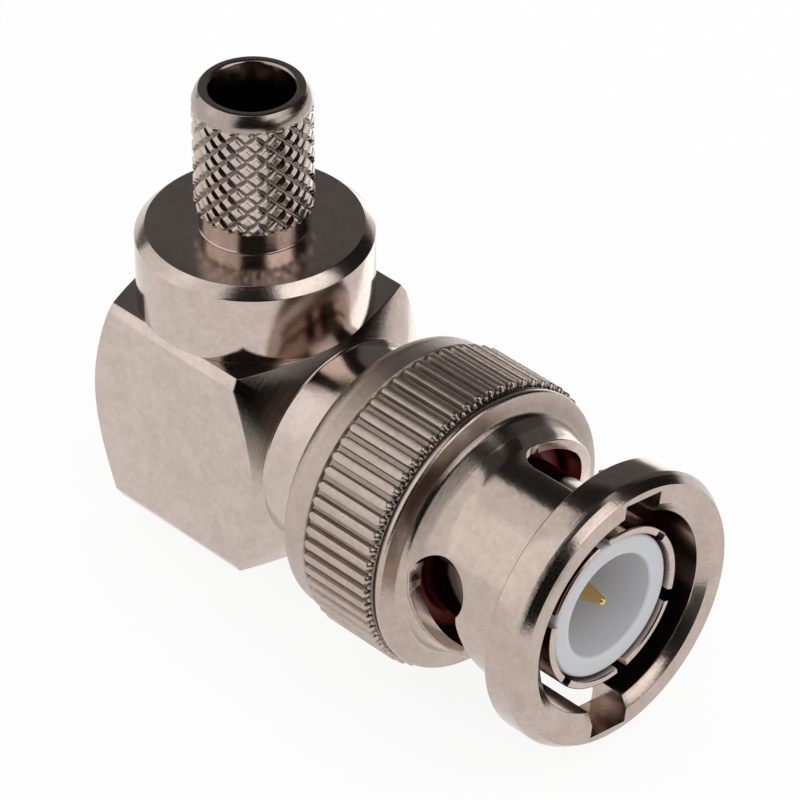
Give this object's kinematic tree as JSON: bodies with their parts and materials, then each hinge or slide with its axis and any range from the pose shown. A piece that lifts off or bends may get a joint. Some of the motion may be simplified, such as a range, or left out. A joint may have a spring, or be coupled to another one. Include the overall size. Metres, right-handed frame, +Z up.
{
  "type": "right angle bnc connector",
  "caption": "Right angle coaxial plug: bayonet coupling nut, slotted contact sleeve and pin, square body and knurled crimp stem.",
  "frame": {"origin": "centre of the mating plane, at the front end of the outer contact, on the connector axis", "axes": "+X is the mating direction along the connector axis, +Z points up the crimp stem, +Y completes the right handed frame"},
  "size_m": [0.0295, 0.0144, 0.0241],
  "materials": {
    "body_nickel": "bright nickel plate over brass, faint turning lines",
    "cap_nickel": "bright nickel plate over brass, faint turning lines",
    "base_nickel": "bright nickel plate over brass, faint turning lines",
    "stem_nickel": "bright nickel plate over brass, faint turning lines",
    "contact_nickel": "bright nickel plate over brass, faint turning lines",
    "washer_nickel": "bright nickel plate over brass, faint turning lines",
    "nut_nickel": "nickel plate, grainy between the ribs and smooth on the waist and ring",
    "white_ptfe": "smooth, slightly translucent",
    "gold_plate": "bright gold plate",
    "red_rubber": "smooth moulded rubber",
    "spring_bronze": "bare spring bronze"
  },
  "bodies": {
    "plug_body": {"body_block": "body_nickel", "rear_cap": "cap_nickel", "cap_insulator": "white_ptfe", "stem_base": "base_nickel", "crimp_stem": "stem_nickel", "outer_contact": "contact_nickel", "front_insulator": "white_ptfe", "rear_insulator": "white_ptfe", "centre_contact": "gold_plate", "gasket": "red_rubber", "wave_washer": "spring_bronze"},
    "nut_carrier": {"retaining_washer": "washer_nickel"},
    "nut": {"coupling_nut": "nut_nickel"}
  },
  "joints": [
    {"name": "nut_travel", "type": "slide", "parent": "plug_body", "child": "nut_carrier", "axis": [1, 0, 0], "range_m": [0, 0.0005], "stiffness_N_per_m": 1000, "springref_m": -0.001},
    {"name": "nut_turn", "type": "hinge", "parent": "nut_carrier", "child": "nut", "pos_m": [-0.01291, 0, 0], "axis": [1, 0, 0], "continuous": true}
  ]
}
